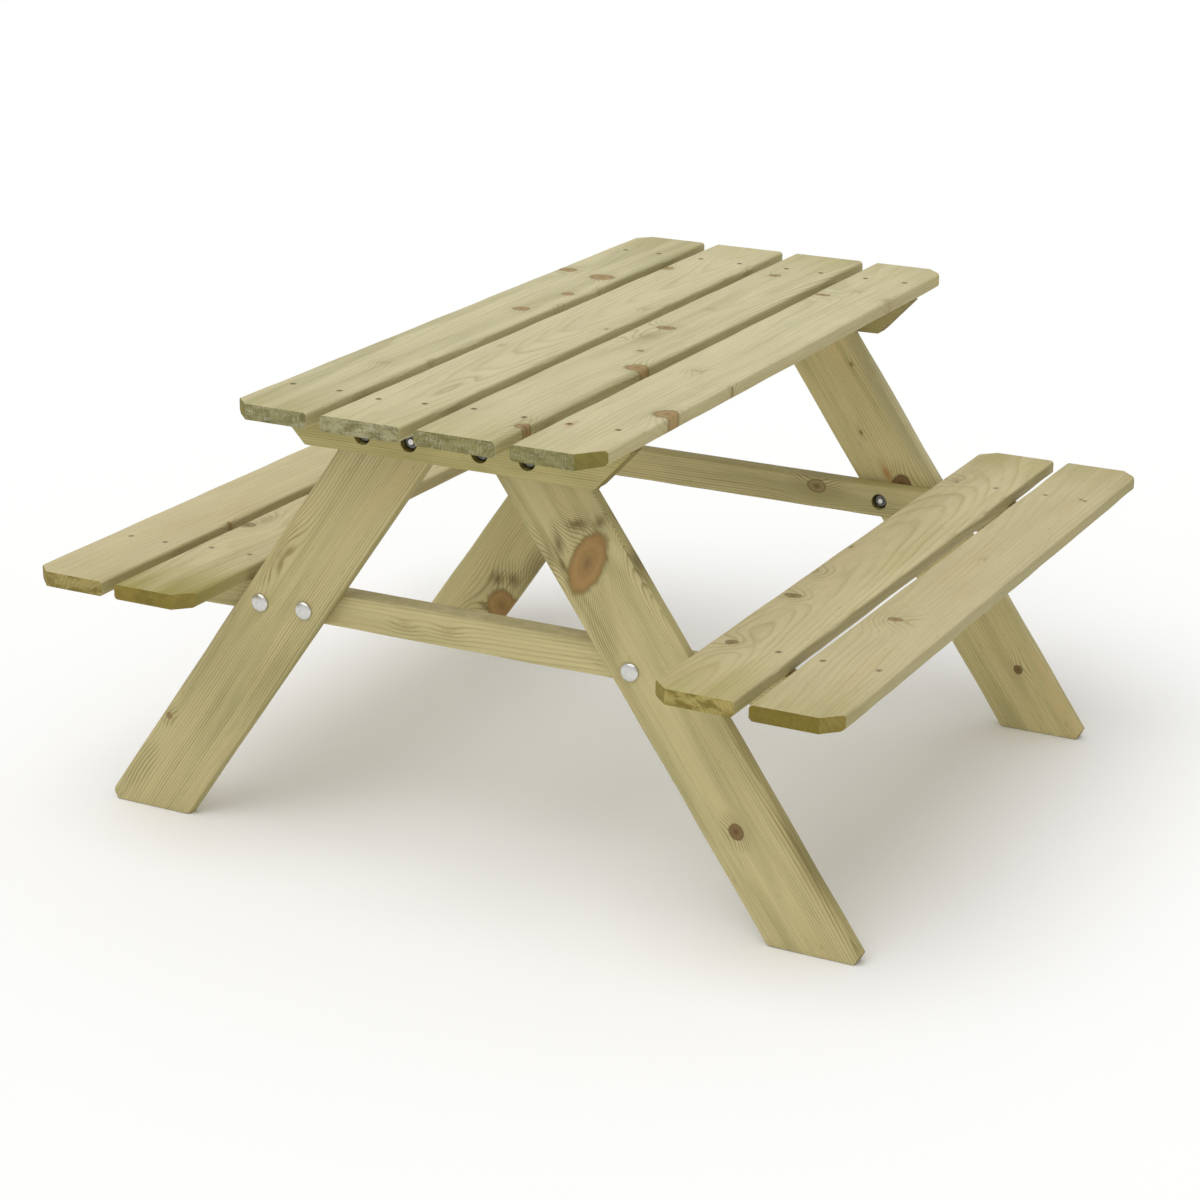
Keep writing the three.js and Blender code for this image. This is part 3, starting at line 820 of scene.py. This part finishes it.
BATTEN_WOOD = {
    "cleat_1": dict(pith=(60, -24), tilt=0.006, spacing=2.8, seed=13, grey=0.8, warm=0.1,
                    contrast=0.75, sway=4.0, ripple=0.4),
    "cleat_2": dict(pith=(-60, 30), tilt=0.01, spacing=3.0, seed=14, grey=0.5, warm=0.2,
                    # This cleat's lowered lightness is painted shade, for its place under the top
                    contrast=0.6, sway=4.0, ripple=0.5, tone_and_painted_light=0.88),
    "seat_rail_1": dict(pith=(-30, -44), tilt=0.03, spacing=3.6, seed=15, grey=0.4, warm=0.5,
                        contrast=0.5, sway=5.0, ripple=0.6,
                        # The long pale strip on the top face is painted light, against the shade of
                        # the top
                        knots=[(0, 23, 450, 5, "painted_light", 0.0, 1.0),
                               (78, -4, 8, 5, "faint", 1.4, 1.5),
                               (26, 0, 9, 5, "faint", 1.2, 1.5),
                               (-300, 4, 7, 6, "tan", 1.6, 1.8)]),
    "seat_rail_2": dict(pith=(-52, -38), tilt=0.02, spacing=2.8, seed=16, grey=0.8, warm=0.15,
                        contrast=0.85, sway=6.0, ripple=0.6, tone_and_painted_light=0.96,
                        knots=[(-111, 8, 12, 8, "dark", 6.0, 2.2),
                               (210, -2, 8, 6, "tan", 2.0, 1.8)]),
}
# The side, along Y, on which a board's corners are cut off
CLIPPED_SIDE = {
    "top_board_1": 1, "top_board_4": -1, "seat_board_a_inner": -1, "seat_board_a_outer": 1,
    "seat_board_b_inner": 1, "seat_board_b_outer": -1,
}
# (x, side along Y, radius, depth) of each dent in a top edge
DENTS = {
    "top_board_4": [(-153, -1, 9, 1.6), (279, -1, 7, 1.0)],
    "top_board_3": [(-146, -1, 8, 1.0), (-395, -1, 8, 0.9)],
    "top_board_1": [(72, -1, 8, 1.2), (172, -1, 9, 1.3)],
    "top_board_2": [(360, -1, 8, 1.2)],
    "seat_board_a_outer": [(-222, -1, 7, 1.4)],
}
# How far (x, y) each screw of a board is from its nominal place
SCREW_SHIFTS = {
    "top_board_1": [(-1, 1), (-1, -4), (2, -4), (4, 2)],
    "top_board_2": [(-9, 1), (-2, 2), (2, 0), (1, -2)],
    "top_board_3": [(5, 6), (2, -2), (4, -6), (3, -1)],
    "top_board_4": [(2, 4), (6, 3), (2, -3), (3, -2)],
    "seat_board_a_inner": [(9, 1), (9, 2), (0, 2), (2, -1)],
    "seat_board_a_outer": [(1, -5), (1, 0), (1, 2), (-2, 0)],
    "seat_board_b_inner": [(2, 1), (3, -2), (1, 1), (-1, 2)],
    "seat_board_b_outer": [(1, 6), (2, -2), (1, -2), (0, 1)],
}


# ---- Build the timber ----
def board(node, palette, spec, screw_x):
    low, high = box_mm(node)
    middle, size = (low + high) / 2, high - low
    tip, edge = size.x / 2, size.y / 2
    cuts = [((-tip, 0, middle.z), (-1, 0, 0)), ((tip, 0, middle.z), (1, 0, 0))]
    clipped = CLIPPED_SIDE.get(node)
    if clipped:
        for end in (-1, 1):
            clip_x, clip_y = WIDE_CLIP if (node, end) == ("top_board_4", -1) else CORNER_CLIP
            point = (end * (tip - clip_x), middle.y + clipped * edge, middle.z)
            cuts.append((point, (end * clip_y, clipped * clip_x, 0)))
    solids = []
    screws = board_screws(screw_x, middle.y, SCREW_SHIFTS[node])
    level = high.z - (TOP_SINK if node.startswith("top") else SEAT_SINK)
    for x, y in screws:
        solids += screw_pocket(x, y, level)
    matrix = Matrix.Translation(middle * MM)
    rough_size = (size.x + SPARE_LENGTH, size.y, size.z)
    timber(node, palette, spec, matrix, rough_size, ARRIS, cuts, solids)
    return [(x, y, level, node) for x, y in screws]


def leg(node, end, side):
    low, high = box_mm(node)
    top_z = high.z
    middle = Vector(((low.x + high.x) / 2, 0, top_z / 2))
    middle.y = side * (LEG_FOOT_CENTRE - middle.z * math.tan(LEG_SPLAY))
    s, c = math.sin(LEG_SPLAY), math.cos(LEG_SPLAY)
    grain, across, through = (0, -side * s, c, 0), (0, side * c, s, 0), (-side, 0, 0, 0)
    matrix = Matrix((grain, across, through, (*middle * MM, 1))).transposed()
    thickness = high.x - low.x
    foot = LEG_FOOT_CENTRE + LEG_WIDTH / 2 / c
    toe_normal = (0, side * math.sin(TOE_LEAN), -math.cos(TOE_LEAN))
    cuts = [((0, 0, 0), (0, 0, -1)), ((0, 0, top_z), (0, 0, 1)),
            ((0, side * (foot - TOE_CUT), 0), toe_normal)]
    number = node[4]
    outside = low.x if end < 0 else high.x
    inside = high.x if end < 0 else low.x
    solids = []
    for kind, face, direction in (("cleat", inside, end), ("rail", outside, -end)):
        pocket = face + direction * (POCKET_DEPTH - POCKET_PAST) / 2
        for y, z in bolt_centres(kind, number):
            if y * side > 0:
                solids += [
                    (along(X_AXIS, middle.x, y, z), BORE, thickness + BORE_PAST, "round"),
                    (along(X_AXIS, pocket, y, z), NECK_POCKET, POCKET_DEPTH + POCKET_PAST, "square"),
                ]
    rough_size = (top_z / c + 3 * LEG_WIDTH, LEG_WIDTH, thickness)
    timber(node, FRAME_PALETTE, LEG_WOOD[node], matrix, rough_size, ARRIS, cuts, solids)


def batten(node, kind, end, screws):
    low, high = box_mm(node)
    middle, size = (low + high) / 2, high - low
    rows = (0, 0, 1, middle.x * MM), (1, 0, 0, middle.y * MM), (0, 1, 0, middle.z * MM), (0, 0, 0, 1)
    matrix = Matrix(rows)
    half = size.y / 2
    run, rise = BATTEN_END_BEVEL[kind]
    cuts = []
    for side in (-1, 1):
        cuts.append(((0, middle.y + side * half, 0), (0, side, 0)))
        cuts.append(((0, middle.y + side * (half - run), low.z), (0, side * rise, -run)))
    open_x, out = (low.x, -1) if (kind == "cleat") == (end < 0) else (high.x, 1)
    solids = []
    recess = open_x - out * (RECESS_DEPTH - RECESS_PAST) / 2
    for y, z in bolt_centres("cleat" if kind == "cleat" else "rail", node[-1]):
        solids += [
            (along(X_AXIS, middle.x, y, z), BORE, size.x + BORE_PAST, "round"),
            (along(X_AXIS, recess, y, z), RECESS_DIAMETER, RECESS_DEPTH + RECESS_PAST, "round"),
        ]
    for x, y, level, board_name in screws:
        if low.x < x < high.x and (board_name.startswith("top") == (kind == "cleat")):
            place = along(Z_AXIS, x, y, level - SCREW_LENGTH / 2)
            solids.append((place, SCREW_BORE, SCREW_LENGTH + 1, "round"))
    palette = CLEAT_PALETTE if kind == "cleat" else FRAME_PALETTE
    rough_size = (size.y + SPARE_LENGTH, size.z, size.x)
    timber(node, palette, BATTEN_WOOD[node], matrix, rough_size, BATTEN_ARRIS, cuts,
           solids)


all_screws = []
for board_name, board_spec in TOP_WOOD.items():
    all_screws += board(board_name, TOP_PALETTE, board_spec, TOP_SCREW_X)
for board_name, board_spec in SEAT_WOOD.items():
    all_screws += board(board_name, SEAT_PALETTE, board_spec, SEAT_SCREW_X)
for end_number, end_sign in ENDS:
    leg("leg_" + end_number + "a", end_sign, 1)
    leg("leg_" + end_number + "b", end_sign, -1)
    batten("cleat_" + end_number, "cleat", end_sign, all_screws)
    batten("seat_rail_" + end_number, "seat_rail", end_sign, all_screws)


# ---- Fasteners ----
def turned(name, profile, segments=48, closed=False):
    """A mesh turned round Z from (radius, z) pairs; a closed profile makes a ring."""
    bm = bmesh.new()
    rings = []
    for radius, z in profile:
        if radius == 0:
            rings.append([bm.verts.new((0, 0, z * MM))])
            continue
        rings.append([
            bm.verts.new((radius * MM * math.cos(2 * math.pi * k / segments),
                          radius * MM * math.sin(2 * math.pi * k / segments), z * MM))
            for k in range(segments)
        ])
    for a, b in zip(rings, rings[1:] + (rings[:1] if closed else [])):
        for k in range(segments):
            n = (k + 1) % segments
            corners = [a[k % len(a)], a[n % len(a)], b[n % len(b)], b[k % len(b)]]
            unique = list(dict.fromkeys(corners))
            if len(unique) > 2:
                bm.faces.new(unique)
    bmesh.ops.recalc_face_normals(bm, faces=bm.faces[:])
    return mesh_from(bm, name)


def joined(name, *meshes):
    bm = bmesh.new()
    for mesh in meshes:
        bm.from_mesh(mesh)
    return mesh_from(bm, name)


def square_neck(name):
    """The short square under the bolt's head, with softened corners."""
    bm = bmesh.new()
    made = bmesh.ops.create_cube(bm, size=1.0)["verts"]
    bmesh.ops.scale(bm, vec=(NECK_SQUARE * MM, NECK_SQUARE * MM, NECK_DEPTH * MM), verts=made)
    bmesh.ops.translate(bm, vec=(0, 0, NECK_DEPTH / 2 * MM), verts=made)
    bmesh.ops.bevel(bm, geom=bm.edges[:], offset=0.5 * MM, segments=2, affect="EDGES")
    return mesh_from(bm, name)


def coach_bolt_mesh():
    """Mushroom head, square neck and threaded shank; the head's flat side is at Z = 0."""
    head = [(0.0, -HEAD_HEIGHT)]
    steps = 12
    for k in range(1, steps + 1):
        angle = math.pi / 2 * k / steps
        head.append((HEAD_RADIUS * math.sin(angle) ** 1.04,
                     -HEAD_RIM - (HEAD_HEIGHT - HEAD_RIM) * math.cos(angle)))
    head += [(HEAD_RADIUS, -0.25), (HEAD_RADIUS - 0.25, 0.0)]
    shank = BOLT_DIAMETER / 2
    profile = head + [(shank, 0.0), (shank, BOLT_LENGTH - THREAD_LENGTH)]
    z = BOLT_LENGTH - THREAD_LENGTH
    while z < BOLT_LENGTH - THREAD_PITCH:
        profile += [(shank - 0.55, z + THREAD_PITCH * 0.45), (shank, z + THREAD_PITCH * 0.9)]
        z += THREAD_PITCH
    profile += [(shank - 0.9, BOLT_LENGTH), (0.0, BOLT_LENGTH)]
    return joined("coach_bolt", turned("bolt_turned", profile), square_neck("bolt_neck"))


def screw_mesh():
    """Countersunk screw with a recess in its head; Z = 0 is the top of the head."""
    head, shank = SCREW_HEAD / 2, SCREW_SHANK / 2
    profile = [(0.0, -1.6), (1.1, -1.5), (1.35, -0.05), (1.5, 0.0), (head - 0.2, 0.0), (head, -0.25),
               (shank, -2.6)]
    z = -6.0
    while z > -SCREW_LENGTH + 6:
        profile += [(shank - 0.6, z), (shank, z - 0.9), (shank - 0.6, z - 1.8)]
        z -= 2.4
    profile += [(0.0, -SCREW_LENGTH)]
    return turned("board_screw", profile, segments=24)


def washer_mesh():
    outer, inner, t = WASHER_OUTER / 2, WASHER_INNER / 2, WASHER_THICKNESS
    profile = [(inner, 0.0), (outer - 0.2, 0.0), (outer, 0.2), (outer, t - 0.25), (outer - 0.25, t),
               (inner + 0.15, t), (inner, t - 0.15)]
    return turned("washer", profile, closed=True)


BOLT_ZINC = zinc("bolt_zinc", (0.66, 0.65, 0.62, 1), (0.5, 0.5, 0.48, 1), 0.34)
# Nut and washer zinc is painted nearly black: painted shade of the recesses they sit in
NUT_ZINC_PAINTED_SHADE = zinc("nut_zinc_painted_shade", (0.2, 0.2, 0.19, 1), (0.1, 0.1, 0.09, 1), 0.45)
SCREW_ZINC = zinc("screw_zinc", (0.34, 0.24, 0.14, 1), (0.2, 0.13, 0.07, 1), 0.5)
PALE_ZINC = zinc("pale_zinc", (0.52, 0.43, 0.27, 1), (0.36, 0.29, 0.17, 1), 0.5)
RUSTY_BOARDS = ("top_board_1", "top_board_4")  # the boards whose screws have gone brown


def fasten(name, mesh, material, matrix, node=None):
    show_piece(add_object(name, mesh), material, node, matrix)


bolt_mesh, board_screw, washer_shape = coach_bolt_mesh(), screw_mesh(), washer_mesh()


def bolt_set(label, direction):
    """The bolt, washer and nut at one place; the bolt's point looks along direction on X."""
    axis = (direction, 0, 0)
    low, high = box_mm("bolt_" + label)
    middle = (low + high) / 2
    head_seat = (low.x if direction > 0 else high.x) + direction * HEAD_HEIGHT
    pose = along(axis, head_seat, middle.y, middle.z)
    fasten("coach_bolt_" + label, bolt_mesh, BOLT_ZINC, pose, "bolt_" + label)
    nut_low, nut_high = box_mm("nut_" + label)
    bearing = nut_low.x if direction > 0 else nut_high.x
    bearing -= direction * (WASHER_THICKNESS + WASHER_GAP)
    pose = along(axis, bearing, middle.y, middle.z)
    # The washer and the CAD nut take the dark zinc, which is painted shade of the recess
    fasten("washer_" + label, washer_shape, NUT_ZINC_PAINTED_SHADE, pose)
    for material_slot in frame["nodes"]["nut_" + label].material_slots:
        material_slot.link = "OBJECT"
        material_slot.material = NUT_ZINC_PAINTED_SHADE


for kind in ("cleat", "rail"):
    for end_number, end_sign in ENDS:
        for bolt_place in BOLT_PLACES:
            bolt_set(f"{kind}_{end_number}{bolt_place}", end_sign if kind == "cleat" else -end_sign)

for index, (x, y, level, board_name) in enumerate(all_screws):
    name = f"screw_{board_name}_{index % 4 + 1}"
    pose = Matrix.Translation(Vector((x, y, level)) * MM)
    pose = pose @ Matrix.Rotation(index * 1.1, 4, "Z")
    finish = SCREW_ZINC if board_name in RUSTY_BOARDS else PALE_ZINC
    fasten(name, board_screw, finish, pose)


# ---- Floor, light and camera ----
def floor():
    bm = bmesh.new()
    bmesh.ops.create_circle(bm, cap_ends=True, segments=96, radius=FLOOR_RADIUS)
    obj = add_object("floor", mesh_from(bm, "floor"))
    obj.location.z = -FLOOR_GAP
    material = bpy.data.materials.new("floor_white")
    material.use_nodes = True
    shader = material.node_tree.nodes["Principled BSDF"]
    shader.inputs["Base Color"].default_value = (0.94, 0.94, 0.935, 1)
    shader.inputs["Roughness"].default_value = 0.9
    shader.inputs["Specular IOR Level"].default_value = 0.1
    obj.data.materials.append(material)


def sun(name, towards, spread, power):
    """Even light over the whole floor, with soft shadows."""
    light = bpy.data.lights.new(name, "SUN")
    light.angle, light.energy = math.radians(spread), power
    obj = add_object(name, light)
    obj.rotation_euler = Vector(towards).to_track_quat("-Z", "Y").to_euler()


def world(overhead, horizon):
    """White studio: even light from above that brightens to white towards the horizon."""
    made = bpy.data.worlds.new("studio")
    made.use_nodes = True
    g = Graph(made.node_tree)
    coords = g.node("ShaderNodeTexCoord")
    height = g.node("ShaderNodeSeparateXYZ", {0: coords.outputs["Generated"]}).outputs["Z"]
    background = made.node_tree.nodes["Background"]
    background.inputs["Color"].default_value = (1, 1, 1, 1)
    g.feed(background.inputs["Strength"], g.span(height, 0.06, 0.26, horizon, overhead))
    bpy.context.scene.world = made


def camera():
    a, e = math.radians(CAMERA_AZIMUTH), math.radians(CAMERA_ELEVATION)
    back = Vector((math.sin(a) * math.cos(e), -math.cos(a) * math.cos(e), math.sin(e)))
    right = (-back).cross(Z_AXIS).normalized()
    up = right.cross(-back)
    r = math.radians(CAMERA_ROLL)
    right, up = right * math.cos(r) + up * math.sin(r), up * math.cos(r) - right * math.sin(r)
    place = CAMERA_TARGET + back * CAMERA_DISTANCE
    data = bpy.data.cameras.new("camera")
    data.sensor_width, data.lens, data.clip_end = SENSOR_WIDTH, LENS, 200.0
    obj = add_object("camera", data)
    rows = [(right[i], up[i], back[i], place[i]) for i in range(3)]
    obj.matrix_world = Matrix((*rows, (0, 0, 0, 1)))
    bpy.context.scene.camera = obj


floor()
world(overhead=0.67, horizon=1.02)
sun("key", towards=(0.42, -0.12, -1.0), spread=60.0, power=1.36)
camera()
bpy.context.scene.view_settings.view_transform = "Standard"

bpy.context.view_layer.update()
